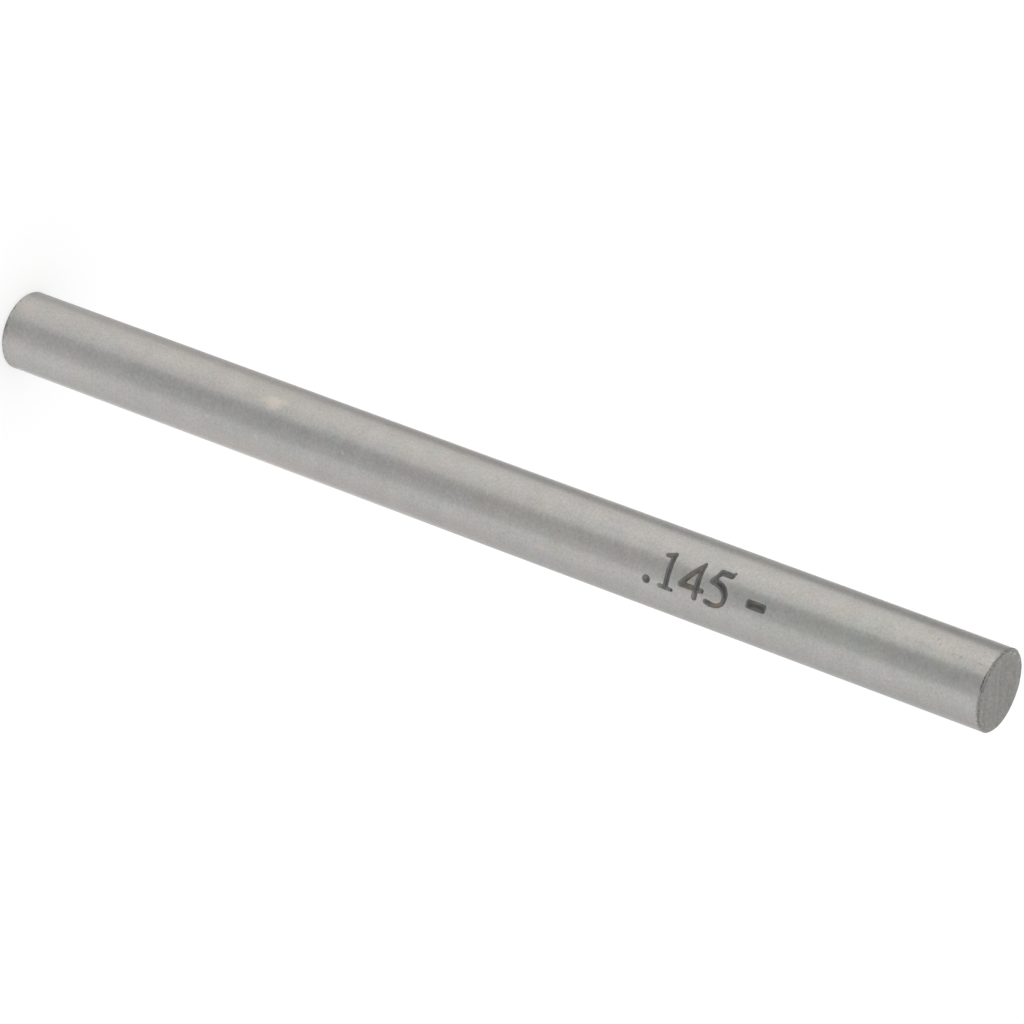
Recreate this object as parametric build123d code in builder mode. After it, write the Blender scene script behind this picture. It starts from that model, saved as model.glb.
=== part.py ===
from build123d import *
import os

# A plain plug ("pin") gauge: one hardened steel pin, ground round to its marked size and
# square at both ends, with the sharp edge of each end just broken.
# The pin stands on one end. Its axis is +Z, and the origin is the centre of the end below.

# Driving dimensions, in millimetres
inch = 25.4
gauge_diameter = 0.145 * inch  # the size that is etched on the pin
gauge_length = 2.0 * inch  # over both end faces
edge_break = 0.003 * inch  # leg of the 45 degree chamfer round each end


# The pin: its round section, drawn out to the full length, with both end circles broken
with BuildPart() as pin:
    with BuildSketch(Plane.XY):
        Circle(gauge_diameter / 2)
    extrude(amount=gauge_length)
    chamfer(pin.edges().filter_by(GeomType.CIRCLE), length=edge_break)

pin.part.label = "pin"

os.makedirs("parts", exist_ok=True)
export_step(pin.part, "parts/pin.step")
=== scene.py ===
import math

import bpy
import numpy as np
from mathutils import Matrix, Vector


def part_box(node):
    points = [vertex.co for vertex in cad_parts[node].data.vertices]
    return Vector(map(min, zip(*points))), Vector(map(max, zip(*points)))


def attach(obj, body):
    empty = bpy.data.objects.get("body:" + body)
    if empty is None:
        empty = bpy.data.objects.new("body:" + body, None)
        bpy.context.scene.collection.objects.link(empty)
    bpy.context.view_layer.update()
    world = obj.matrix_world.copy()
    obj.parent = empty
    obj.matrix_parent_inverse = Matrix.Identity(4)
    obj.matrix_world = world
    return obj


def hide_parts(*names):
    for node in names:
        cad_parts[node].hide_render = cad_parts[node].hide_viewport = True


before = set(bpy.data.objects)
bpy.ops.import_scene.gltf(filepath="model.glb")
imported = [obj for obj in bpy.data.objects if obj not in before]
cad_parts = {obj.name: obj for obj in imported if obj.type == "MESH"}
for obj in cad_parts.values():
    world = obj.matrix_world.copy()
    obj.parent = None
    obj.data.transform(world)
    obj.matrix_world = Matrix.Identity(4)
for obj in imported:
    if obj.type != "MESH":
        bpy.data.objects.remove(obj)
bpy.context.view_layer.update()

mm = 0.001
scene = bpy.context.scene
scene.view_settings.view_transform = "Standard"

# Camera: the long lens of the photo, rolled so that the standing pin lies across the picture
cameraLook = {
    "place": (0.0, -0.175614, 0.118643),  # in metres
    "azimuthDeg": -0.029,
    "downDeg": 27.595,
    "rollDeg": 110.362,
    "lensMm": 161.291,
    "sensorMm": 36.0,
    "clip": (0.01, 20.0),  # nearest and furthest thing seen, in metres
}


def makeCamera(look):
    data = bpy.data.cameras.new("photoCamera")
    data.lens = look["lensMm"]
    data.sensor_width = look["sensorMm"]
    data.clip_start, data.clip_end = look["clip"]
    camera = bpy.data.objects.new("photoCamera", data)
    turn = Matrix.Rotation(math.radians(look["azimuthDeg"]), 4, "Z")
    tilt = Matrix.Rotation(math.radians(90 - look["downDeg"]), 4, "X")
    roll = Matrix.Rotation(math.radians(look["rollDeg"]), 4, "Z")
    camera.matrix_world = Matrix.Translation(look["place"]) @ turn @ tilt @ roll
    scene.collection.objects.link(camera)
    scene.camera = camera


makeCamera(cameraLook)
print("camera placed")

# The size mark, cut in strokes. Every stroke point is (along the pin from mid-length, round the
# pin from the front line, half width), all in mm. A stroke runs straight from point to point.
markLook = {
    "point": [[(9.39, 0.78, 0.196)]],
    "one": [
        [(10.342, -0.619, 0.115), (10.349, 0.193, 0.13), (10.353, 0.825, 0.128)],
        [(10.018, -0.511, 0.097), (10.29, -0.555, 0.135)],
        [(10.053, 0.852, 0.1), (10.642, 0.871, 0.086)],
        [(10.37, -0.655, 0.08), (10.4, -0.69, 0.045)],
    ],
    "four": [
        [(11.806, -0.712, 0.066), (11.780, -0.456, 0.112), (11.785, 0.3, 0.13),
         (11.765, 0.835, 0.13)],
        [(11.787, -0.605, 0.106), (11.037, 0.412, 0.132)],
        [(11.042, 0.444, 0.125), (12.050, 0.437, 0.115)],
    ],
    "five": [
        [(12.675, -0.603, 0.143), (12.98, -0.603, 0.143), (13.12, -0.590, 0.135)],
        [(13.15, -0.64, 0.105), (13.23, -0.755, 0.068)],
        [(12.66, -0.600, 0.13), (12.555, -0.392, 0.1), (12.445, -0.15, 0.14)],
        [(12.35, -0.075, 0.075), (12.46, -0.095, 0.12), (12.599, -0.125, 0.165),
         (12.84, -0.053, 0.168), (13.007, 0.056, 0.161), (13.127, 0.224, 0.148),
         (13.154, 0.380, 0.126), (13.144, 0.536, 0.114), (13.082, 0.676, 0.107),
         (12.940, 0.799, 0.105), (12.744, 0.858, 0.112), (12.542, 0.852, 0.135),
         (12.335, 0.808, 0.131)],
    ],
    "dash": {"centre": (14.646, 0.249), "half": (0.474, 0.2), "corner": 0.11, "lean": 0.03},
    "fillet": 0.05,  # how softly strokes run into each other, in mm
    "depth": 0.012,  # how deep the strokes are cut, in mm
    "wall": 0.05,  # width of their sloping wall, in mm
    "farAway": 9.0,  # distance that is written where there is no mark near
}


def softMin(a, b, width):
    # Minimum of two distances, rounded where they differ by less than the width: the smaller one,
    # less a quarter of the width times the square of the share of it that they don't differ by
    share = np.clip(width - np.abs(a - b), 0, None) / width
    return np.minimum(a, b) - share * share * width / 4


def strokeDistance(along, around, points):
    # Distance to a chain of straight strokes: to the nearest place on each run, less the half
    # width there, which changes evenly from one end of the run to the other
    if len(points) == 1:
        a, s, r = points[0]
        return np.hypot(along - a, around - s) - r
    found = np.full(along.shape, np.inf)
    for (a0, s0, r0), (a1, s1, r1) in zip(points, points[1:]):
        da, ds = a1 - a0, s1 - s0
        t = np.clip(((along - a0) * da + (around - s0) * ds) / (da * da + ds * ds), 0, 1)
        reach = np.hypot(along - a0 - t * da, around - s0 - t * ds) - (r0 + t * (r1 - r0))
        found = np.minimum(found, reach)
    return found


def dashDistance(along, around, dash):
    # Distance to a box with rounded corners whose short ends lean: to a smaller box with sharp
    # corners, less the radius of the corners
    across = around - dash["centre"][1]
    fromCentre = along - dash["centre"][0]
    side = np.abs(fromCentre + across * dash["lean"] * np.sign(fromCentre))
    dx = side - dash["half"][0] + dash["corner"]
    dy = np.abs(across) - dash["half"][1] + dash["corner"]
    outside = np.hypot(np.clip(dx, 0, None), np.clip(dy, 0, None))
    return outside + np.minimum(np.maximum(dx, dy), 0) - dash["corner"]


def markDistance(along, around, look):
    # Signed distance in mm from the edge of the nearest stroke, negative inside
    found = dashDistance(along, around, look["dash"])
    for name in ("point", "one", "four", "five"):
        digit = np.full(along.shape, look["farAway"])
        for chain in look[name]:
            digit = softMin(digit, strokeDistance(along, around, chain), look["fillet"])
        found = np.minimum(found, digit)
    return np.minimum(found, look["farAway"])


def smoothStep(x):
    # Rises from 0 to 1 between 0 and 1, as three times the square less twice the cube
    x = np.clip(x, 0, 1)
    return x * x * (3 - 2 * x)


# The pin: one closed surface of turning, with the mark sunk into it
pinLook = {
    "edgeBreak": 0.0762,  # leg of the 45 degree edge break, in mm
    "rimWobble": 0.019,  # how far the borders of the broken edge wander, in mm
    "rimCalm": 0.75,  # share of that which is lost on the +X side
    "rimWaves": (3, 105),  # waves round the rim, from this many to one less than that
    "waveFall": 0.3,  # power of their number by which they grow weaker
    "rimGap": 0.01,  # plain wall between the wandering border and the next row, in mm
    "rimRows": 4,
    "faceRings": 9,
    "markFrom": 8.95,  # rows are close from here to markTo, in mm from mid-length
    "markTo": 15.2,
    "markSide": 1.16,  # and columns are close this far to each side of the front line
    "closeStep": 0.028,
    "roundStep": 0.055,
    "alongStep": 0.5,
    "endZone": 0.6,  # rows are closer again this near the ends, in mm
    "endStep": 0.1,
    "streakDeg": 38.6,  # direction of the grinding streaks on the ends, from +X towards +Y
    "seed": 11,
}

# The pin's own map, in shares of its width: a rectangle for the side and a disc for each end
mapLook = {
    "sideMiddle": (0.5, 0.36),
    "sideHalf": (0.49, 0.35),
    "lowDisc": (0.2, 0.86),
    "topDisc": (0.5, 0.86),
    "discRadius": 0.12,
}

low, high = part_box("pin")
radius = min(high.x, -low.x, high.y, -low.y) / mm
length = (high.z - low.z) / mm
middle = length / 2


def ringWobble(angle, look, rng):
    # A closed wavy line round the pin: a sum of cosines with whole numbers of waves, calmer
    # towards +X
    waves = np.arange(*look["rimWaves"])
    strength = rng.normal(0, 1, len(waves)) / waves ** look["waveFall"]
    phase = rng.uniform(0, 2 * np.pi, len(waves))
    line = (strength * np.cos(np.outer(angle, waves) + phase)).sum(1)
    calm = 1 - look["rimCalm"] * (0.5 + 0.5 * np.sin(angle))
    return look["rimWobble"] * calm * line / np.abs(line).max()


def spaced(start, stop, step):
    # Even places from start to stop, about a step apart
    return np.linspace(start, stop, max(int(round(abs(stop - start) / step)), 1) + 1)


def joined(*runs):
    # Runs of places, each but the last without its end, which the next one starts with
    return np.concatenate([run[:-1] for run in runs[:-1]] + [runs[-1]])


def endRows(sign, angle, look, rng):
    # One end: straight from the body over the broken edge to the rim of the flat face, then in
    # even rings inwards. Gives the heights from mid-length and the radii of both.
    outer = ringWobble(angle, look, rng)
    inner = ringWobble(angle, look, rng)
    t = np.linspace(0, 1, look["rimRows"])[:, None]
    outerZ = middle - look["edgeBreak"] + outer
    innerR = radius - look["edgeBreak"] + inner
    edgeZ = sign * (outerZ + (middle - outerZ) * t)
    edgeR = radius + (innerR - radius) * t
    shrink = np.linspace(1, 0, look["faceRings"] + 1)[1:-1, None]
    faceZ = np.full((len(shrink), len(angle)), sign * middle)
    return edgeZ, edgeR, faceZ, innerR * shrink


def pinMap(points, corners, z, angle, sideLoops, streakDeg, look):
    # The side is laid out flat, u as the height and v as the angle round the pin. The ends are
    # discs above it, with u across their streaks.
    rows, count = z.shape
    i, j = np.meshgrid(np.arange(rows - 1), np.arange(count), indexing="ij")
    k = (j + 1) % count
    sideZ = np.stack([z[i, j], z[i, k], z[i + 1, k], z[i + 1, j]], -1)
    sideU = look["sideMiddle"][0] + look["sideHalf"][0] * sideZ.reshape(-1) / middle
    edge = look["sideMiddle"][1] + look["sideHalf"][1] * np.append(angle, np.pi) / np.pi
    sideV = np.stack([edge[j], edge[j + 1], edge[j + 1], edge[j]], -1).reshape(-1)
    place = points[corners] / mm
    turn = math.radians(streakDeg + 90)
    across = place[:, 0] * math.cos(turn) + place[:, 1] * math.sin(turn)
    along = place[:, 1] * math.cos(turn) - place[:, 0] * math.sin(turn)
    onLow = place[:, 2] < middle
    discU = np.where(onLow, look["lowDisc"][0], look["topDisc"][0])
    discV = np.where(onLow, look["lowDisc"][1], look["topDisc"][1])
    size = look["discRadius"]
    uv = np.stack([discU + size * across / radius, discV + size * along / radius], -1)
    uv[:len(sideU)][sideLoops] = np.stack([sideU, sideV], -1)[sideLoops]
    return uv


def makePin(look):
    # A surface of turning: each row is a ring at the height z, where x is r times the sine of the
    # angle and y is r times its cosine, backwards
    rng = np.random.default_rng(look["seed"])
    half = np.pi * radius
    side = look["markSide"]
    around = joined(
        spaced(-half, -side, look["roundStep"]),
        spaced(-side, side, look["closeStep"]),
        spaced(side, half, look["roundStep"]),
    )[:-1]
    angle = around / radius
    count = len(angle)
    body = middle - look["edgeBreak"] - look["rimWobble"] - look["rimGap"]
    zone = body - look["endZone"]
    along = joined(
        spaced(-body, -zone, look["endStep"]),
        spaced(-zone, look["markFrom"], look["alongStep"]),
        spaced(look["markFrom"], look["markTo"], look["closeStep"]),
        spaced(look["markTo"], zone, look["alongStep"]),
        spaced(zone, body, look["endStep"]),
    )

    # Body: the radius less the depth of the mark, as a function of along and around
    a, s = np.meshgrid(along, around, indexing="ij")
    distance = markDistance(a, s, markLook)
    sunk = markLook["depth"] * smoothStep(0.5 - distance / markLook["wall"])
    lowEdgeZ, lowEdgeR, lowFaceZ, lowFaceR = endRows(-1, angle, look, rng)
    topEdgeZ, topEdgeR, topFaceZ, topFaceR = endRows(1, angle, look, rng)
    z = np.concatenate([lowFaceZ[::-1], lowEdgeZ[::-1], a, topEdgeZ, topFaceZ])
    r = np.concatenate([lowFaceR[::-1], lowEdgeR[::-1], radius - sunk, topEdgeR, topFaceR])
    field = np.full(z.shape, markLook["farAway"])
    # Which way the flanks of the mark slope, for their painted light and shade
    lean = np.zeros(z.shape)
    first = len(lowFaceZ) + len(lowEdgeZ)
    field[first:first + len(along)] = distance
    lean[first:first + len(along)] = -np.gradient(distance, along, axis=0)
    rows = len(z)
    grid = np.stack([r * np.sin(angle), -r * np.cos(angle), z + middle], -1).reshape(-1, 3)
    poles = np.array([[0, 0, 0], [0, 0, length]])
    points = np.concatenate([grid, poles]) * mm

    # Quads between rows, wound so that they face outwards, and a fan round each pole
    i, j = np.meshgrid(np.arange(rows - 1), np.arange(count), indexing="ij")
    k = (j + 1) % count
    quads = np.stack([i * count + j, i * count + k, (i + 1) * count + k, (i + 1) * count + j], -1)
    quads = quads.reshape(-1, 4)
    j, k = j[0], k[0]
    top = (rows - 1) * count
    lowFan = np.stack([k, j, np.full(count, rows * count)], -1)
    topFan = np.stack([top + j, top + k, np.full(count, rows * count + 1)], -1)

    me = bpy.data.meshes.new("pinGauge")
    corners = np.concatenate([quads.ravel(), lowFan.ravel(), topFan.ravel()]).astype(np.int32)
    sizes = np.concatenate([np.full(len(quads), 4), np.full(2 * count, 3)])
    starts = np.concatenate([[0], np.cumsum(sizes)[:-1]]).astype(np.int32)
    me.vertices.add(len(points))
    me.loops.add(len(corners))
    me.polygons.add(len(sizes))
    me.vertices.foreach_set("co", points.astype(np.float32).ravel())
    me.loops.foreach_set("vertex_index", corners)
    me.polygons.foreach_set("loop_start", starts)
    me.update(calc_edges=True)

    # Flat ends wear the second material, and the broken edges the third
    rowOfQuad = np.repeat(np.arange(rows - 1), count)
    edgeRows = look["rimRows"] - 1
    lowRim = len(lowFaceZ)
    topRim = rows - 1 - len(topFaceZ)
    onEnd = (rowOfQuad < lowRim) | (rowOfQuad >= topRim)
    onRim = (rowOfQuad < lowRim + edgeRows) | (rowOfQuad >= topRim - edgeRows)
    slots = np.where(onEnd, 1, np.where(onRim, 2, 0))
    slots = np.append(slots, np.ones(2 * count)).astype(np.int32)
    me.polygons.foreach_set("material_index", slots)
    me.polygons.foreach_set("use_smooth", np.ones(len(sizes), bool))

    # Sharp edges along both borders of each broken edge
    pairs = np.empty(len(me.edges) * 2, np.int32)
    me.edges.foreach_get("vertices", pairs)
    rowOfEdge = pairs.reshape(-1, 2) // count
    sharpRows = [lowRim, lowRim + edgeRows, topRim, topRim - edgeRows]
    sharp = (rowOfEdge[:, 0] == rowOfEdge[:, 1]) & np.isin(rowOfEdge[:, 0], sharpRows)
    me.attributes.new("sharp_edge", "BOOLEAN", "EDGE").data.foreach_set("value", sharp)

    # What the material reads of the mark: the distance from its edge, and which way that grows, which
    # paints light and shade on the flanks of the strokes
    atPoles = {"markDistance": (field, markLook["farAway"]), "markLean": (lean, 0)}
    for name, (values, atPole) in atPoles.items():
        values = np.append(values.ravel(), [atPole] * 2).astype(np.float32)
        me.attributes.new(name, "FLOAT", "POINT").data.foreach_set("value", values)

    # The export bakes through a map of this name, and the streaks of the steel follow it
    uv = pinMap(points, corners, z, angle, np.repeat(~onEnd, 4), look["streakDeg"], mapLook)
    me.uv_layers.new(name="OFBake").uv.foreach_set("vector", uv.astype(np.float32).ravel())
    me.validate()

    pin = bpy.data.objects.new("pinGauge", me)
    scene.collection.objects.link(pin)
    print("pin:", rows, "rows,", count, "columns,", int((sizes - 2).sum()), "triangles")
    return pin


pin = makePin(pinLook)


# Node helpers
def addNode(tree, kind, values=None, **settings):
    # A node with its settings. Each of its values is a socket to link or a constant to set.
    node = tree.nodes.new(kind)
    for name, value in settings.items():
        setattr(node, name, value)
    for name, value in (values or {}).items():
        socket = node.inputs[name]
        if isinstance(value, bpy.types.NodeSocket):
            tree.links.new(value, socket)
        else:
            socket.default_value = value
    return node


def calc(tree, operation, a, b=0.0, c=0.0):
    return addNode(tree, "ShaderNodeMath", {0: a, 1: b, 2: c}, operation=operation).outputs[0]


def vectorCalc(tree, operation, a, b):
    return addNode(tree, "ShaderNodeVectorMath", {0: a, 1: b}, operation=operation).outputs


def scaled(tree, vector, factor):
    values = {"Vector": vector, "Scale": factor}
    return addNode(tree, "ShaderNodeVectorMath", values, operation="SCALE").outputs[0]


def ranged(tree, value, low, high, toLow=0.0, toHigh=1.0):
    # The value carried over from one range to the other, softly at both ends of it
    values = {"Value": value, "From Min": low, "From Max": high, "To Min": toLow, "To Max": toHigh}
    node = addNode(tree, "ShaderNodeMapRange", values, interpolation_type="SMOOTHSTEP")
    return node.outputs["Result"]


def noise(tree, place, detail, roughness):
    values = {"Vector": place, "Scale": 1.0, "Detail": detail, "Roughness": roughness}
    return addNode(tree, "ShaderNodeTexNoise", values).outputs


def mixColour(tree, factor, a, b, blend="MIX"):
    values = {0: factor, 6: a, 7: b}
    return addNode(tree, "ShaderNodeMix", values, data_type="RGBA", blend_type=blend).outputs[2]


def newGroup(name, inputs, outputs):
    # A node group with named inputs and outputs; returns it, what it is given and what it puts out
    group = bpy.data.node_groups.new(name, "ShaderNodeTree")
    for label, kind in inputs.items():
        group.interface.new_socket(label, in_out="INPUT", socket_type="NodeSocket" + kind)
    for label, kind in outputs.items():
        group.interface.new_socket(label, in_out="OUTPUT", socket_type="NodeSocket" + kind)
    given = group.nodes.new("NodeGroupInput").outputs
    return group, given, group.nodes.new("NodeGroupOutput").inputs


def useGroup(tree, group, values):
    return addNode(tree, "ShaderNodeGroup", node_tree=group, values=values).outputs


# What the steel's patterns are made of. A noise is given as its detail and roughness.
patternLook = {
    "grain": (3.0, 0.62),
    "cloud": (4.0, 0.6),
    "cloudScale": 0.115,  # clouds for each grain along an axis
    "tint": (4.0, 0.65),
    "tintScale": 0.085,  # the same for the patches of tint
    "tintSpread": (2.8, 0.7, 2.6),  # how far red, green and blue swing
    "fineLines": (2.0, 0.6),
    "coarseLines": (2.0, 0.5),
    "coarseScale": 0.23,  # coarse lines for each fine line
    "coarseShare": 0.7,  # how strong they are beside it
    "reflectionTintBorder": (0.2, 1.8),  # a painted reflection tint fades between these shares of its half size
    "bandNoise": (4.0, 0.7),
    "bandNoiseScale": 5000.0,  # in a metre
    "bandNoiseRange": (0.3, 0.7),  # two values of its noise
    "bandWidthShare": (0.45, 1.5),  # and what they multiply the width of the darker band by
    "bandFade": (0.5, 1.0),  # the darker band fades between these shares of its width
    "fleck": (2.0, 0.6),
    "fleckScale": 11000.0,  # in a metre
    "fleckRange": (0.59, 0.69),  # a fleck begins and is whole at these values of its noise
    "fleckReach": 0.4,  # no fleck is further than this from the broken edge, in mm
    "wobble": (3.0, 0.55),
    "wobbleScale": 9000.0,  # in a metre
}


def makeGrainGroup(look):
    # Fine uneven steel: a shade near 1, a slight change of tint, and a height. Grain is the number
    # of grains in a metre along each axis of the piece, and clouds are much larger than grains.
    group, given, out = newGroup(
        "steelGrain",
        {"Place": "Vector", "Grain": "Vector", "Contrast": "Float", "Cloud": "Float", "Tint": "Float"},
        {"Shade": "Float", "Tint": "Color", "Height": "Float"},
    )
    fine = vectorCalc(group, "MULTIPLY", given["Place"], given["Grain"])[0]
    grain = noise(group, fine, *look["grain"])["Fac"]
    cloud = noise(group, scaled(group, fine, look["cloudScale"]), *look["cloud"])["Fac"]
    swing = calc(group, "SUBTRACT", grain, 0.5)
    drift = calc(group, "SUBTRACT", cloud, 0.5)
    shade = calc(group, "MULTIPLY_ADD", swing, given["Contrast"], 1.0)
    shade = calc(group, "MULTIPLY_ADD", drift, given["Cloud"], shade)
    hue = noise(group, scaled(group, fine, look["tintScale"]), *look["tint"])["Color"]
    uneven = vectorCalc(group, "SUBTRACT", hue, (0.5, 0.5, 0.5))[0]
    uneven = vectorCalc(group, "MULTIPLY", uneven, look["tintSpread"])[0]
    tint = vectorCalc(group, "ADD", scaled(group, uneven, given["Tint"]), (1, 1, 1))[0]
    group.links.new(shade, out["Shade"])
    group.links.new(tint, out["Tint"])
    group.links.new(grain, out["Height"])
    return group


def makeLineGroup(look):
    # Grinding lines: noise drawn out along the grinding direction, fine and coarse together. Lines
    # is their number in a metre along each axis of the piece.
    group, given, out = newGroup(
        "grindLines",
        {"Place": "Vector", "Lines": "Vector", "Contrast": "Float"},
        {"Shade": "Float", "Height": "Float"},
    )
    fine = vectorCalc(group, "MULTIPLY", given["Place"], given["Lines"])[0]
    near = noise(group, fine, *look["fineLines"])["Fac"]
    far = noise(group, scaled(group, fine, look["coarseScale"]), *look["coarseLines"])["Fac"]
    both = calc(group, "MULTIPLY_ADD", far, look["coarseShare"], near)
    swing = calc(group, "SUBTRACT", both, 0.5 * (1 + look["coarseShare"]))
    group.links.new(calc(group, "MULTIPLY_ADD", swing, given["Contrast"], 1.0), out["Shade"])
    group.links.new(both, out["Height"])
    return group


def makeSpotGroup():
    # One spot: Strength inside, 0 outside, with a soft and ragged border. Across and Along are
    # directions on the surface, each divided by the spot's half size that way. The plain distance,
    # in radii of the pin, keeps the spot off the far side of it.
    group, given, out = newGroup(
        "wornSpot",
        {"Place": "Vector", "Centre": "Vector", "Across": "Vector", "Along": "Vector",
         "Wobble": "Float", "Ragged": "Float", "Softness": "Float", "Strength": "Float"},
        {"Mask": "Float"},
    )
    offset = vectorCalc(group, "SUBTRACT", given["Place"], given["Centre"])[0]
    u = vectorCalc(group, "DOT_PRODUCT", offset, given["Across"])["Value"]
    v = vectorCalc(group, "DOT_PRODUCT", offset, given["Along"])["Value"]
    away = vectorCalc(group, "LENGTH", offset, (0, 0, 0))["Value"]
    w = calc(group, "MULTIPLY", away, 1 / (radius * mm))
    both = addNode(group, "ShaderNodeCombineXYZ", {0: u, 1: v, 2: w}).outputs[0]
    reach = vectorCalc(group, "LENGTH", both, (0, 0, 0))["Value"]
    swing = calc(group, "SUBTRACT", given["Wobble"], 0.5)
    moved = calc(group, "MULTIPLY_ADD", swing, given["Ragged"], reach)
    inner = calc(group, "SUBTRACT", 1.0, given["Softness"])
    outer = calc(group, "ADD", 1.0, given["Softness"])
    mask = ranged(group, moved, inner, outer, 1.0, 0.0)
    group.links.new(calc(group, "MULTIPLY", mask, given["Strength"]), out["Mask"])
    return group


def makeReflectionTintGroup(look):
    # A broad, soft patch on the wall for painted reflection, where the steel is tinted, lightened
    # and darkened by the way it faces: 1 in its middle and 0 outside. Middle and Lean are the height
    # of its middle and the way that it faces, Length and Turn its half sizes along the pin and round
    # it.
    # The reach is the root of the squared share of the length and the share of the turn, where a turn
    # counts as one less its cosine.
    group, given, out = newGroup(
        "paintedReflectionTint",
        {"Place": "Vector", "Middle": "Float", "Lean": "Vector", "Length": "Float", "Turn": "Float"},
        {"Mask": "Float"},
    )
    height = vectorCalc(group, "DOT_PRODUCT", given["Place"], (0, 0, 1))["Value"]
    share = calc(group, "DIVIDE", calc(group, "SUBTRACT", height, given["Middle"]), given["Length"])
    facing = vectorCalc(group, "DOT_PRODUCT", given["Place"], given["Lean"])["Value"]
    facing = calc(group, "MULTIPLY", facing, 1 / (radius * mm))
    turned = calc(group, "SUBTRACT", 1.0, facing)
    full = calc(group, "SUBTRACT", 1.0, calc(group, "COSINE", given["Turn"]))
    turned = calc(group, "DIVIDE", turned, full)
    reach = calc(group, "SQRT", calc(group, "MULTIPLY_ADD", share, share, turned))
    group.links.new(ranged(group, reach, *look["reflectionTintBorder"], 1.0, 0.0), out["Mask"])
    return group


def makeRimGroup(look):
    # At the rims: a darker band and bright flecks. Both fall from 1 to 0 with the distance in mm
    # from the broken edge, which is the larger of those from the end plane and the outer wall.
    group, given, out = newGroup(
        "darkRimBand",
        {"Place": "Vector", "Middle": "Float", "Radius": "Float", "Width": "Float"},
        {"Darkened": "Float", "Bright": "Float"},
    )
    parts = addNode(group, "ShaderNodeSeparateXYZ", {0: given["Place"]}).outputs
    fromMiddle = calc(group, "ABSOLUTE", calc(group, "SUBTRACT", parts["Z"], given["Middle"]))
    toEnd = calc(group, "SUBTRACT", given["Middle"], fromMiddle)
    flat = addNode(group, "ShaderNodeCombineXYZ", {0: parts["X"], 1: parts["Y"]}).outputs[0]
    reach = vectorCalc(group, "LENGTH", flat, (0, 0, 0))["Value"]
    toWall = calc(group, "SUBTRACT", given["Radius"], reach)
    fromRim = calc(group, "MULTIPLY", calc(group, "MAXIMUM", toEnd, toWall), 1 / mm)
    bandNoise = noise(group, scaled(group, given["Place"], look["bandNoiseScale"]), *look["bandNoise"])["Fac"]
    factor = ranged(group, bandNoise, *look["bandNoiseRange"], *look["bandWidthShare"])
    width = calc(group, "MULTIPLY", given["Width"], factor)
    darkened = ranged(group, calc(group, "DIVIDE", fromRim, width), *look["bandFade"], 1.0, 0.0)
    fleck = noise(group, scaled(group, given["Place"], look["fleckScale"]), *look["fleck"])["Fac"]
    near = ranged(group, fromRim, 0.0, look["fleckReach"], 1.0, 0.0)
    bright = calc(group, "MULTIPLY", ranged(group, fleck, *look["fleckRange"]), near)
    group.links.new(darkened, out["Darkened"])
    group.links.new(bright, out["Bright"])
    return group


grainGroup = makeGrainGroup(patternLook)
lineGroup = makeLineGroup(patternLook)
spotGroup = makeSpotGroup()
reflectionTintGroup = makeReflectionTintGroup(patternLook)
rimGroup = makeRimGroup(patternLook)
print("node groups made")

# Ground steel of the wall
steelLook = {
    "colour": (0.5, 0.49, 0.475),
    "metallic": 1.0,
    "roughness": 0.41,
    "anisotropy": 0.95,
    "grain": (8500, 8500, 9500),  # in a metre, along each axis
    "grainContrast": 0.56,
    "cloudContrast": 0.19,
    "tint": 0.062,
    "lines": (350, 350, 16000),  # in a metre, along each axis
    "lineContrast": 0.05,
    "bump": 0.04,
    "bumpDistance": 0.00001,  # in metres
}

# Ground steel of the flat ends, turned so that its lines run along the first axis
endLook = {
    "colour": (0.328, 0.322, 0.306),
    "metallic": 0.55,
    "roughness": 0.5,
    "anisotropy": 0.6,
    "grain": (8500, 8500, 9500),
    "grainContrast": 0.98,
    "cloudContrast": 0.15,
    "tint": 0.05,
    "lines": (600, 11000, 600),
    "lineContrast": 0.48,
    "bump": 0.04,
    "bumpDistance": 0.00001,
}

# Steel of the broken edges, and the darker band beside them on the wall and on the flat ends
rimLook = {
    "colour": (0.245, 0.241, 0.23),
    "metallic": 0.35,
    "roughness": 0.55,
    "anisotropy": 0.0,
    "speck": (3.0, 0.65),  # detail and roughness of its noise
    "specks": 9000,  # in a metre
    "speckContrast": 2.2,
    "rimBandColour": (0.27, 0.26, 0.245),
    "rimBandFaceColour": (0.315, 0.308, 0.293),
    "brightColour": (0.66, 0.65, 0.63),
    "width": 0.13,  # in mm
}

# Dark strokes of the mark
strokeLook = {
    "colour": (0.166, 0.171, 0.168),
    "coreColour": (0.074, 0.078, 0.077),
    "oliveColour": (0.15, 0.15, 0.115),
    "brownColour": (0.165, 0.14, 0.12),
    "edge": (0.016, -0.022),  # the dark colour comes in between these distances, in mm
    "core": (-0.06, -0.14),  # and the darker core between these
    "metallic": 0.15,
    "roughness": 0.56,
    "blotch": (3.0, 0.6),  # detail and roughness of its noise
    "blotches": 3500,  # in a metre
    "blotchRange": (0.4, 0.6),  # they turn from olive to brown between these values of it
    "streak": (3.0, 0.6),
    "streaks": 9,  # across the strokes, in a mm
    "streakLength": 2600,  # along the strokes, in a metre
    "streakContrast": 2.0,
    "patchShare": 0.2,
    "flankShadeContrast": 0.12,  # painted light and shade: flanks towards the lower end are painted lighter, the others darker
    "outline": (-0.05, -0.01),  # the shade falls between these distances to that of the outline
    "outlineShade": 0.78,
}

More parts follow.
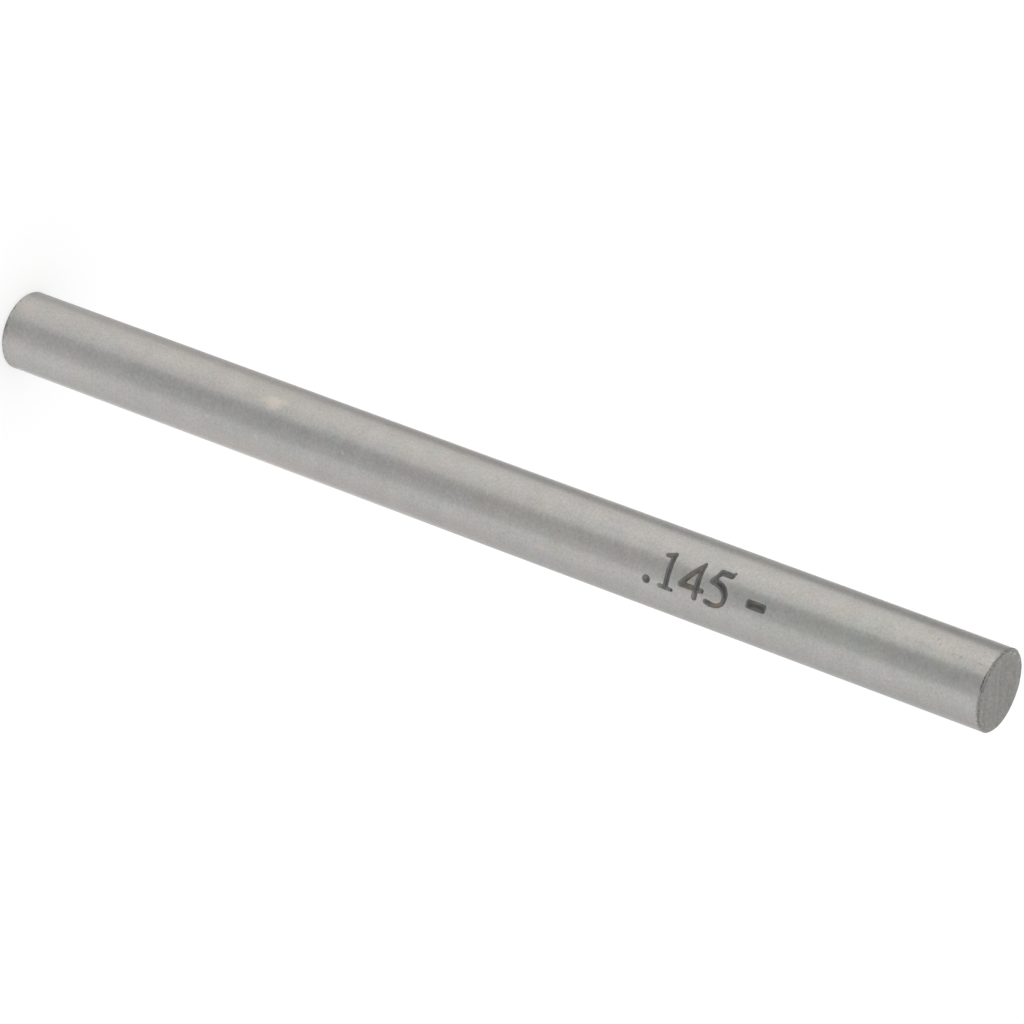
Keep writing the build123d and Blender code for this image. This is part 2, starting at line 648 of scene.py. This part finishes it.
# Spots of the wall, later ones over earlier ones: mm along the pin from its middle and round it
# from the front line, half sizes the same two ways, turn in degrees, colour, strength,
# raggedness and softness
steelSpots = {
    "creamMiddle": (-10.66, -0.79, 0.4, 0.29, 12, (0.68, 0.61, 0.55), 0.74, 1.8, 0.4),
    "creamLeft": (-11.18, -0.79, 0.26, 0.13, -15, (0.61, 0.555, 0.485), 0.65, 1.6, 0.5),
    "creamRight": (-10.22, -0.98, 0.26, 0.14, 10, (0.6, 0.56, 0.485), 0.7, 1.6, 0.5),
    "creamTail": (-10.77, -0.5, 0.22, 0.13, 40, (0.59, 0.54, 0.495), 0.55, 1.2, 0.5),
    "pinkNear": (22.86, -1.50, 0.2, 0.16, 0, (0.5, 0.45, 0.43), 0.45, 1.2, 0.6),
    "yellowNear": (22.20, -1.45, 0.16, 0.14, 0, (0.46, 0.44, 0.37), 0.6, 1.2, 0.6),
    "yellowFaint": (21.21, -1.00, 0.14, 0.12, 0, (0.5, 0.49, 0.43), 0.5, 1.2, 0.6),
    "pinkMiddle": (4.1, 1.12, 0.22, 0.13, 0, (0.585, 0.51, 0.485), 0.7, 1.2, 0.6),
    "pinkFar": (-24.61, -0.96, 0.4, 0.35, 0, (0.56, 0.5, 0.47), 0.5, 1.4, 0.7),
    "farRim": (-25.27, 0.15, 0.06, 0.16, 0, (0.14, 0.14, 0.125), 0.45, 0.8, 0.6),
    "farRimRed": (-25.22, 0.42, 0.1, 0.14, 0, (0.42, 0.34, 0.31), 0.6, 1.0, 0.6),
    # The next four spots are painted reflection with ragged borders: the rim line darkest where it
    # faces the front, less dark further round
    "nearRimDark": (25.262, -0.1, 0.035, 0.42, 0, (0.1, 0.096, 0.09), 0.85, 0.8, 0.6),
    "nearRimGrey": (25.285, 0.85, 0.04, 0.55, 0, (0.31, 0.3, 0.285), 0.7, 0.8, 0.6),
    "nearRimLeft": (25.3, -0.86, 0.035, 0.42, 0, (0.13, 0.127, 0.12), 0.75, 0.8, 0.6),
    "nearRimHigh": (25.24, -1.45, 0.06, 0.32, 0, (0.4, 0.39, 0.375), 0.55, 0.8, 0.6),
    "nearRimPink": (25.12, 1.62, 0.13, 0.16, 0, (0.52, 0.47, 0.455), 0.45, 1.0, 0.6),
    "pitOne": (21.86, -0.69, 0.045, 0.045, 0, (0.36, 0.35, 0.33), 0.6, 0.6, 0.5),
    "pitTwo": (22.66, -1.20, 0.05, 0.045, 0, (0.3, 0.29, 0.27), 0.7, 0.6, 0.5),
    "pitThree": (22.84, -0.98, 0.055, 0.04, 0, (0.32, 0.31, 0.29), 0.6, 0.6, 0.5),
    "pitFour": (23.56, -0.75, 0.045, 0.045, 0, (0.34, 0.33, 0.31), 0.6, 0.6, 0.5),
    "pitFive": (23.93, -0.75, 0.05, 0.07, 20, (0.32, 0.31, 0.29), 0.7, 0.6, 0.5),
    "pitSix": (24.30, -0.38, 0.05, 0.06, 0, (0.36, 0.35, 0.33), 0.6, 0.6, 0.5),
    "pitFar": (-20.66, -0.70, 0.05, 0.06, 0, (0.38, 0.37, 0.36), 0.5, 0.6, 0.5),
    "paleTick": (-6.44, 0.23, 0.11, 0.05, 40, (0.68, 0.68, 0.66), 0.6, 0.5, 0.6),
    "brownMiddle": (0.93, 0.16, 0.36, 0.13, 70, (0.5, 0.45, 0.405), 0.45, 1.0, 0.7),
    "paleMiddleTick": (0.94, -0.33, 0.16, 0.05, 70, (0.64, 0.585, 0.565), 0.65, 0.6, 0.6),
    "pinkFleckFar": (-13.69, 0.82, 0.13, 0.08, 20, (0.63, 0.555, 0.535), 0.55, 0.8, 0.6),
    "scratchFar": (-13.99, 0.45, 0.3, 0.03, 42, (0.4, 0.4, 0.39), 0.4, 0.5, 0.6),
    "scratchHigh": (14.58, -1.60, 0.2, 0.03, -28, (0.39, 0.385, 0.37), 0.5, 0.5, 0.6),
    "scratchStart": (24.53, -0.79, 0.16, 0.022, -4, (0.38, 0.365, 0.34), 0.45, 0.5, 0.6),
    "scratchEnd": (24.84, -0.76, 0.17, 0.03, 10, (0.3, 0.28, 0.25), 0.62, 0.6, 0.6),
}

# Spots of the broken edges, with the same values. The first three are painted reflection: the edge
# lighter or darker by the way it faces.
rimSpots = {
    "paleReflectionRight": (25.36, 3.0, 0.4, 1.1, 0, (0.36, 0.355, 0.345), 1.0, 0.6, 0.5),
    "dimReflectionLeft": (25.36, -2.4, 0.4, 0.6, 0, (0.3, 0.296, 0.285), 1.0, 0.6, 0.5),
    "darkReflectionMiddle": (25.36, -0.2, 0.4, 0.5, 0, (0.26, 0.255, 0.243), 0.7, 0.6, 0.5),
    "brownLow": (25.36, 1.75, 0.4, 0.3, 0, (0.255, 0.23, 0.205), 0.5, 0.8, 0.6),
}

# Painted reflection of the wall: broad tints by the way it faces. Each is mm along the pin from its
# middle, degrees round it, half sizes the same two ways, and the tint that multiplies the colour
steelReflectionTints = {
    "coolMiddle": (-12.5, 3, 8.5, 22, (0.935, 0.943, 0.962)),
    "warmHigh": (-12, -59, 9, 16, (0.997, 0.973, 0.95)),
    "warmMiddle": (-11, -26, 6.5, 13, (1.012, 1.0, 0.988)),
    "pinkLow": (-12.3, 62, 3.2, 14, (1.08, 1.058, 1.05)),
    "pinkWide": (-10, 60, 6, 18, (1.016, 0.993, 0.991)),
    "pinkShort": (0.3, 54, 1.8, 16, (1.024, 0.996, 0.98)),
    "greenNear": (18.5, 0, 6.5, 26, (0.984, 1.014, 0.996)),
    "paleFarLow": (-23, 35, 3.2, 22, (1.065, 1.068, 1.077)),
    "paleNearHigh": (14, -62, 13, 12, (1.07, 1.066, 1.043)),
    "dimLow": (6, 60, 16, 14, (0.97, 0.97, 0.97)),
    "paleMiddle": (6, 10, 4.5, 22, (1.03, 1.027, 1.017)),
}

# Spots of the flat ends: x and y in mm, half sizes the same two ways, then as on the wall
endSpots = {
    "fleckLeft": (-1.63, 0.03, 0.05, 0.11, 0, (0.62, 0.62, 0.6), 0.75, 0.8, 0.6),
    "fleckLow": (-1.61, -0.44, 0.04, 0.08, 0, (0.55, 0.55, 0.54), 0.65, 0.8, 0.6),
    "fleckHigh": (-1.46, 0.78, 0.06, 0.14, 20, (0.5, 0.5, 0.48), 0.6, 0.8, 0.6),
    "fleckTop": (-0.68, 1.45, 0.07, 0.13, -20, (0.45, 0.45, 0.44), 0.6, 0.8, 0.6),
    "darkHigh": (-0.9, 0.69, 0.08, 0.16, 0, (0.25, 0.25, 0.235), 0.65, 1.0, 0.6),
    "darkLeft": (-1.19, 0.21, 0.1, 0.12, 0, (0.26, 0.26, 0.25), 0.6, 1.0, 0.6),
    "darkLow": (-0.97, -0.16, 0.12, 0.1, 30, (0.25, 0.245, 0.235), 0.6, 1.0, 0.6),
}

# Spots of the mark, with the same values as on the wall
markSpots = {
    "pointPale": (9.33, 0.74, 0.12, 0.13, 0, (0.2, 0.197, 0.165), 0.7, 1.0, 0.5),
    "pointDark": (9.46, 0.84, 0.09, 0.08, 0, (0.07, 0.067, 0.068), 0.45, 0.8, 0.6),
    "oneFlagOlive": (10.08, -0.54, 0.16, 0.13, 0, (0.235, 0.216, 0.158), 0.8, 1.0, 0.6),
    "oneFootOlive": (10.09, 0.86, 0.11, 0.07, 0, (0.31, 0.297, 0.225), 0.8, 0.8, 0.6),
    "oneFootDark": (10.67, 0.87, 0.07, 0.06, 0, (0.055, 0.053, 0.05), 0.6, 0.6, 0.5),
    "oneFootPale": (10.44, 0.87, 0.12, 0.08, 0, (0.225, 0.22, 0.21), 0.6, 0.8, 0.6),
    "fourOlive": (11.35, -0.01, 0.5, 0.16, 127, (0.178, 0.173, 0.13), 0.85, 1.0, 0.5),
    "fourBrown": (11.45, 0.43, 0.2, 0.1, 0, (0.222, 0.178, 0.128), 0.7, 1.0, 0.6),
    "fourDark": (12.11, 0.46, 0.06, 0.07, 0, (0.045, 0.045, 0.042), 0.7, 0.6, 0.5),
    "fourFootPale": (11.72, 0.74, 0.06, 0.14, 0, (0.215, 0.214, 0.205), 0.5, 0.8, 0.6),
    "fourTopPale": (11.86, -0.42, 0.05, 0.28, -3, (0.2, 0.205, 0.185), 0.7, 0.8, 0.6),
    "fourApexPale": (11.62, -0.37, 0.2, 0.09, 127, (0.22, 0.213, 0.175), 0.65, 0.8, 0.6),
    "fourBarPale": (11.97, 0.43, 0.08, 0.09, 0, (0.215, 0.213, 0.19), 0.65, 0.8, 0.6),
    "fiveBrown": (12.87, 0.81, 0.24, 0.1, 0, (0.25, 0.18, 0.13), 0.75, 1.0, 0.6),
    "fiveDark": (12.42, 0.83, 0.14, 0.09, 0, (0.095, 0.095, 0.088), 0.5, 0.8, 0.6),
    "fiveBowlDark": (12.95, 0.0, 0.2, 0.12, 35, (0.055, 0.056, 0.056), 0.4, 0.8, 0.6),
    "fiveOlive": (13.12, 0.6, 0.12, 0.17, 0, (0.21, 0.195, 0.155), 0.75, 0.8, 0.6),
    "fiveEndPale": (12.38, 0.89, 0.14, 0.06, 15, (0.2, 0.2, 0.19), 0.6, 0.8, 0.5),
    "fiveTopPale": (12.92, -0.6, 0.26, 0.1, 0, (0.165, 0.166, 0.162), 0.55, 0.8, 0.6),
    "fiveLeftPale": (12.54, -0.35, 0.11, 0.24, 0, (0.175, 0.175, 0.168), 0.55, 0.8, 0.6),
    "dashCorner": (15.06, 0.39, 0.07, 0.06, 0, (0.06, 0.06, 0.055), 0.5, 0.8, 0.6),
    "dashRed": (14.45, 0.1, 0.3, 0.1, 0, (0.21, 0.15, 0.112), 0.7, 1.0, 0.6),
    "dashOlive": (14.66, 0.37, 0.22, 0.09, 0, (0.16, 0.15, 0.12), 0.6, 1.0, 0.6),
    "dashDark": (14.68, 0.24, 0.3, 0.12, 0, (0.06, 0.058, 0.055), 0.2, 1.0, 0.6),
}


def spotFrame(first, second, onEnd):
    # Where a spot is, and the two directions that its half sizes are measured in: x and y on an
    # end face, and on the wall along the pin and round it
    if onEnd:
        return np.array([first, second, length]), np.array([1.0, 0.0, 0.0]), np.array([0.0, 1.0, 0.0])
    angle = second / radius
    centre = np.array([math.sin(angle) * radius, -math.cos(angle) * radius, first + middle])
    return centre, np.array([0.0, 0.0, 1.0]), np.array([math.cos(angle), math.sin(angle), 0.0])


def borderWobble(tree, place, look):
    # The noise that makes the borders of spots ragged
    return noise(tree, scaled(tree, place, look["wobbleScale"]), *look["wobble"])["Fac"]


def addSpot(tree, place, wobble, under, spot, onEnd):
    first, second, halfFirst, halfSecond, turnDeg, colour, strength, ragged, softness = spot
    centre, firstWay, secondWay = spotFrame(first, second, onEnd)
    turn = math.radians(turnDeg)
    along = (firstWay * math.cos(turn) + secondWay * math.sin(turn)) / (halfFirst * mm)
    across = (secondWay * math.cos(turn) - firstWay * math.sin(turn)) / (halfSecond * mm)
    mask = useGroup(tree, spotGroup, {
        "Place": place, "Centre": centre * mm, "Along": along, "Across": across, "Wobble": wobble,
        "Ragged": ragged, "Softness": softness, "Strength": strength,
    })["Mask"]
    return mixColour(tree, mask, under, (*colour, 1))


def addSpots(tree, place, wobble, colour, spots, onEnd=False):
    for spot in spots.values():
        colour = addSpot(tree, place, wobble, colour, spot, onEnd)
    return colour


def addReflectionTints(tree, place, colour, reflectionTints):
    # Each tint is painted reflection, laid on the colour by the way the wall faces
    for along, turnDeg, halfLength, halfTurnDeg, tint in reflectionTints.values():
        turn = math.radians(turnDeg)
        lean = (math.sin(turn), -math.cos(turn), 0)
        mask = useGroup(tree, reflectionTintGroup, {
            "Place": place, "Middle": (along + middle) * mm, "Lean": lean,
            "Length": halfLength * mm, "Turn": math.radians(halfTurnDeg),
        })["Mask"]
        colour = mixColour(tree, mask, colour, (*tint, 1), "MULTIPLY")
    return colour


def newMaterial(name, look):
    # A metal whose highlights are drawn out along the u direction of the piece's own map
    material = bpy.data.materials.new(name)
    material.use_nodes = True
    tree = material.node_tree
    tree.nodes.clear()
    shader = tree.nodes.new("ShaderNodeBsdfPrincipled")
    out = tree.nodes.new("ShaderNodeOutputMaterial")
    tree.links.new(shader.outputs[0], out.inputs["Surface"])
    shader.inputs["Metallic"].default_value = look["metallic"]
    shader.inputs["Roughness"].default_value = look["roughness"]
    shader.inputs["Anisotropic"].default_value = look["anisotropy"]
    tangent = addNode(tree, "ShaderNodeTangent", direction_type="UV_MAP", uv_map="OFBake")
    tree.links.new(tangent.outputs[0], shader.inputs["Tangent"])
    return material, tree, shader.inputs


def shadedSteel(tree, place, look, shader):
    # The plain steel colour with its grain and grinding lines, and their fine relief
    grain = useGroup(tree, grainGroup, {
        "Place": place, "Grain": look["grain"], "Contrast": look["grainContrast"],
        "Cloud": look["cloudContrast"], "Tint": look["tint"],
    })
    lines = useGroup(tree, lineGroup, {
        "Place": place, "Lines": look["lines"], "Contrast": look["lineContrast"],
    })
    height = calc(tree, "ADD", lines["Height"], grain["Height"])
    bump = addNode(tree, "ShaderNodeBump", {
        "Height": height, "Strength": look["bump"], "Distance": look["bumpDistance"],
    })
    tree.links.new(bump.outputs[0], shader["Normal"])
    shade = calc(tree, "MULTIPLY", grain["Shade"], lines["Shade"])
    tinted = mixColour(tree, 1.0, (*look["colour"], 1), grain["Tint"], "MULTIPLY")
    return scaled(tree, tinted, shade)


def addDarkRimBand(tree, place, colour, look, rimBandColour):
    # A darker band beside the broken edge, and bright flecks in it
    rim = useGroup(tree, rimGroup, {
        "Place": place, "Middle": middle * mm, "Radius": radius * mm, "Width": look["width"],
    })
    colour = mixColour(tree, rim["Darkened"], colour, (*rimBandColour, 1))
    return mixColour(tree, rim["Bright"], colour, (*look["brightColour"], 1))


def makeRimSteel(look):
    # The broken edges are duller and rougher than the ground faces, with painted reflection that
    # lightens or darkens them by the way they face
    material, tree, shader = newMaterial("groundSteelRim", look)
    place = addNode(tree, "ShaderNodeTexCoord").outputs["Object"]
    speck = noise(tree, scaled(tree, place, look["specks"]), *look["speck"])["Fac"]
    # The rim spots hold painted reflection: lighter or darker by the way the edge faces
    colour = addSpots(tree, place, speck, (*look["colour"], 1), rimSpots)
    swing = calc(tree, "SUBTRACT", speck, 0.5)
    shade = calc(tree, "MULTIPLY_ADD", swing, look["speckContrast"], 1.0)
    tree.links.new(scaled(tree, colour, shade), shader["Base Color"])
    return material


def strokeColour(tree, place, wobble, distance, look):
    # The dark strokes of the mark: darker along their middle, here olive and there brown, with fine
    # streaks that keep their distance from the edge, and painted light and shade on their flanks
    core = ranged(tree, distance, *look["core"])
    blotch = noise(tree, scaled(tree, place, look["blotches"]), *look["blotch"])["Fac"]
    hue = ranged(tree, blotch, *look["blotchRange"])
    patchy = mixColour(tree, hue, (*look["oliveColour"], 1), (*look["brownColour"], 1))
    plain = mixColour(tree, look["patchShare"], (*look["colour"], 1), patchy)
    colour = mixColour(tree, core, plain, (*look["coreColour"], 1))
    colour = addSpots(tree, place, wobble, colour, markSpots)
    fromEdge = calc(tree, "MULTIPLY", distance, look["streaks"])
    across = addNode(tree, "ShaderNodeCombineXYZ", {1: fromEdge}).outputs[0]
    drawn = vectorCalc(tree, "ADD", scaled(tree, place, look["streakLength"]), across)[0]
    swing = calc(tree, "SUBTRACT", noise(tree, drawn, *look["streak"])["Fac"], 0.5)
    # Painted light and shade: flanks lighter or darker by which way they slope along the pin
    lean = addNode(tree, "ShaderNodeAttribute", attribute_name="markLean").outputs["Fac"]
    shade = calc(tree, "MULTIPLY_ADD", swing, look["streakContrast"], 1.0)
    shade = calc(tree, "MULTIPLY_ADD", lean, look["flankShadeContrast"], shade)
    outline = ranged(tree, distance, *look["outline"], 1.0, look["outlineShade"])
    return scaled(tree, colour, calc(tree, "MULTIPLY", shade, outline))


def makeRoundSteel(look):
    # The wall: ground steel with its painted reflection tints, spots and darker rim band, and the dark
    # strokes laid into it
    material, tree, shader = newMaterial("groundSteelRound", look)
    place = addNode(tree, "ShaderNodeTexCoord").outputs["Object"]
    wobble = borderWobble(tree, place, patternLook)
    colour = shadedSteel(tree, place, look, shader)
    # Painted reflection: tints that lighten, darken and colour the wall by the way it faces
    colour = addReflectionTints(tree, place, colour, steelReflectionTints)
    colour = addSpots(tree, place, wobble, colour, steelSpots)
    colour = addDarkRimBand(tree, place, colour, rimLook, rimLook["rimBandColour"])
    distance = addNode(tree, "ShaderNodeAttribute", attribute_name="markDistance").outputs["Fac"]
    inside = ranged(tree, distance, *strokeLook["edge"])
    stroke = strokeColour(tree, place, wobble, distance, strokeLook)
    tree.links.new(mixColour(tree, inside, colour, stroke), shader["Base Color"])
    for name, socket in (("metallic", "Metallic"), ("roughness", "Roughness")):
        step = strokeLook[name] - look[name]
        tree.links.new(calc(tree, "MULTIPLY_ADD", inside, step, look[name]), shader[socket])
    return material


def makeEndSteel(look):
    # The flat ends: straight streaks one way, with spots and a darker band at their rims
    material, tree, shader = newMaterial("groundSteelEnd", look)
    place = addNode(tree, "ShaderNodeTexCoord").outputs["Object"]
    turned = addNode(tree, "ShaderNodeMapping", {
        "Vector": place, "Rotation": (0, 0, -math.radians(pinLook["streakDeg"])),
    }).outputs[0]
    colour = shadedSteel(tree, turned, look, shader)
    wobble = borderWobble(tree, place, patternLook)
    colour = addSpots(tree, place, wobble, colour, endSpots, True)
    colour = addDarkRimBand(tree, place, colour, rimLook, rimLook["rimBandFaceColour"])
    tree.links.new(colour, shader["Base Color"])
    return material


pin.data.materials.append(makeRoundSteel(steelLook))
pin.data.materials.append(makeEndSteel(endLook))
pin.data.materials.append(makeRimSteel(rimLook))
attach(pin, "root")
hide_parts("pin")
print("materials made")

# Studio: a white world, a pale floor, and a tent of cards that only the steel mirrors
studioLook = {
    "floorSize": 3.0,  # to each side, in metres
    "floorPoints": 3,
    "floorColour": (0.45, 0.45, 0.45),
    "floorGlow": 0.58,  # brings the floor to white for the camera and for the steel
    "tentRadius": 0.45,
    "tentStepDeg": 2.0,
    "tentDeg": (-2.0, 89.5),  # how high above the floor the tent begins and ends
    "tentRows": 62,
    "tentLevel": 0.9,
    "softness": 8.0,  # width of the soft borders of the cards, in degrees
    "floorCardHeight": 0.0002,
    "floorCardPoints": (22, 8),  # across a floor card, and away from the pin
}

# Cards on the floor: the azimuths of the mirrored rays that each one meets, how bright it is,
# and how far from the pin it begins and ends, in metres
floorCards = {
    "floorCardLeft": (-147, -115, 0.82, 0.035, 0.45),
    "floorCardRight": (150, 178, 1.08, 0.045, 0.45),
    "floorCardNear": (146, 179, 1.75, 0.0005, 0.045),
    "floorCardBack": (-172, -151, 1.5, 0.016, 0.075),
}

# Cards of the tent: azimuth of their middle, from the camera side towards +X, half width and
# height, all in degrees, then their colour
tentCards = {
    "backStrip": (-164, 16, 11, (2.3, 2.3, 2.3)),
    "darkLeft": (-126.5, 23, 90, (0.0, 0.0, 0.0)),
    "warmPanel": (-74, 26, 90, (1.31, 1.266, 1.185)),
    "greyLeft": (-35, 14, 90, (1.0, 0.98, 0.95)),
    "darkFront": (-2, 19, 90, (0.08, 0.08, 0.08)),
    "dimRight": (28, 11, 90, (0.25, 0.25, 0.25)),
    "rightPanel": (60, 21, 90, (0.93, 0.93, 0.93)),
    "rightGrey": (97, 16, 90, (0.73, 0.73, 0.73)),
    "rightDim": (130, 18, 90, (0.38, 0.38, 0.38)),
    "backRight": (164, 17, 90, (0.5, 0.5, 0.5)),
}


def tentColours(azimuth, elevation, look):
    # The plain level of the tent, with each card laid over what is there, soft at its borders
    soft = look["softness"]
    found = np.full((*azimuth.shape, 3), look["tentLevel"])
    for centre, halfWidth, height, colour in tentCards.values():
        off = np.abs((azimuth - centre + 180) % 360 - 180)
        inWidth = smoothStep((halfWidth - off) / soft + 0.5)
        inHeight = smoothStep((height - elevation) / soft + 0.5)
        share = (inWidth * inHeight)[..., None]
        found = found * (1 - share) + np.array(colour) * share
    return found


def gridMesh(name, points, closed):
    # Quads over a grid of rows and columns; closed joins the last column to the first
    rows, count = points.shape[:2]
    i, j = np.meshgrid(np.arange(rows - 1), np.arange(count - (not closed)), indexing="ij")
    k = (j + 1) % count
    faces = np.stack([i * count + j, i * count + k, (i + 1) * count + k, (i + 1) * count + j], -1)
    me = bpy.data.meshes.new(name)
    me.from_pydata(points.reshape(-1, 3).tolist(), [], faces.reshape(-1, 4).tolist())
    ob = bpy.data.objects.new(name, me)
    scene.collection.objects.link(ob)
    return ob


def glowMaterial(name):
    material = bpy.data.materials.new(name)
    material.use_nodes = True
    material.cycles.emission_sampling = "NONE"
    tree = material.node_tree
    tree.nodes.clear()
    return material, tree, tree.nodes.new("ShaderNodeOutputMaterial")


def onlyForSteel(card):
    # Only mirrored rays meet the cards
    for seen in ("camera", "diffuse", "transmission", "volume_scatter", "shadow"):
        setattr(card, "visible_" + seen, False)
    return card


def makeTent(look):
    # Part of a globe round the pin: x and y are the sine and minus the cosine of the azimuth, both
    # times the cosine of the elevation, and z is its sine. Its points hold the cards' colours.
    azimuth, elevation = np.meshgrid(
        np.arange(-180, 180, look["tentStepDeg"]),
        np.linspace(*look["tentDeg"], look["tentRows"]),
    )
    a, e = np.radians(azimuth), np.radians(elevation)
    way = np.stack([np.sin(a) * np.cos(e), -np.cos(a) * np.cos(e), np.sin(e)], -1)
    tent = gridMesh("tent", way * look["tentRadius"], True)
    colours = tentColours(azimuth, elevation, look)
    colours = np.concatenate([colours, np.ones((*azimuth.shape, 1))], -1)
    layer = tent.data.color_attributes.new("cardColour", "FLOAT_COLOR", "POINT")
    layer.data.foreach_set("color", colours.astype(np.float32).ravel())
    material, tree, out = glowMaterial("tentCards")
    colour = addNode(tree, "ShaderNodeAttribute", attribute_name="cardColour").outputs["Color"]
    glow = addNode(tree, "ShaderNodeEmission", {"Color": colour, "Strength": 1.0})
    tree.links.new(glow.outputs[0], out.inputs["Surface"])
    tent.data.materials.append(material)
    return onlyForSteel(tent)


def makeFloorCard(name, side, otherSide, brightness, start, end, look):
    columns, rows = look["floorCardPoints"]
    azimuth, reach = np.meshgrid(
        np.radians(np.linspace(side, otherSide, columns)),
        np.linspace(start, end, rows),
    )
    # A ray that leaves the wall towards an azimuth starts at half that angle round the pin
    wall = radius * mm
    x = wall * np.sin(azimuth / 2) + reach * np.sin(azimuth)
    y = -wall * np.cos(azimuth / 2) - reach * np.cos(azimuth)
    points = np.stack([x, y, np.full(reach.shape, look["floorCardHeight"])], -1)
    card = gridMesh(name, points, False)
    material, tree, out = glowMaterial(name)
    glow = addNode(tree, "ShaderNodeEmission", {"Strength": brightness})
    tree.links.new(glow.outputs[0], out.inputs["Surface"])
    card.data.materials.append(material)
    return onlyForSteel(card)


def makeFloor(look):
    # A flat pale square. Its glow is met by the camera and by mirrored rays, and lights nothing.
    reach = np.linspace(-look["floorSize"], look["floorSize"], look["floorPoints"])
    x, y = np.meshgrid(reach, reach)
    floor = gridMesh("floor", np.stack([x, y, np.zeros_like(x)], -1), False)
    material, tree, out = glowMaterial("paleFloor")
    ray = addNode(tree, "ShaderNodeLightPath").outputs
    seen = calc(tree, "MAXIMUM", ray["Is Camera Ray"], ray["Is Glossy Ray"])
    seen = calc(tree, "MAXIMUM", seen, ray["Is Transmission Ray"])
    strength = calc(tree, "MULTIPLY", seen, look["floorGlow"])
    glow = addNode(tree, "ShaderNodeEmission", {"Strength": strength})
    matt = addNode(tree, "ShaderNodeBsdfDiffuse", {"Color": (*look["floorColour"], 1)})
    both = addNode(tree, "ShaderNodeAddShader", {0: glow.outputs[0], 1: matt.outputs[0]})
    tree.links.new(both.outputs[0], out.inputs["Surface"])
    floor.data.materials.append(material)
    return floor


def makeWorld():
    world = bpy.data.worlds.new("whiteWorld")
    world.use_nodes = True
    world.cycles.sampling_method = "NONE"
    scene.world = world
    tree = world.node_tree
    tree.nodes.clear()
    sky = addNode(tree, "ShaderNodeBackground", {"Color": (1, 1, 1, 1), "Strength": 1.0})
    out = tree.nodes.new("ShaderNodeOutputWorld")
    tree.links.new(sky.outputs[0], out.inputs["Surface"])


makeTent(studioLook)
makeFloor(studioLook)
[makeFloorCard(name, *card, studioLook) for name, card in floorCards.items()]
makeWorld()
print("studio made")
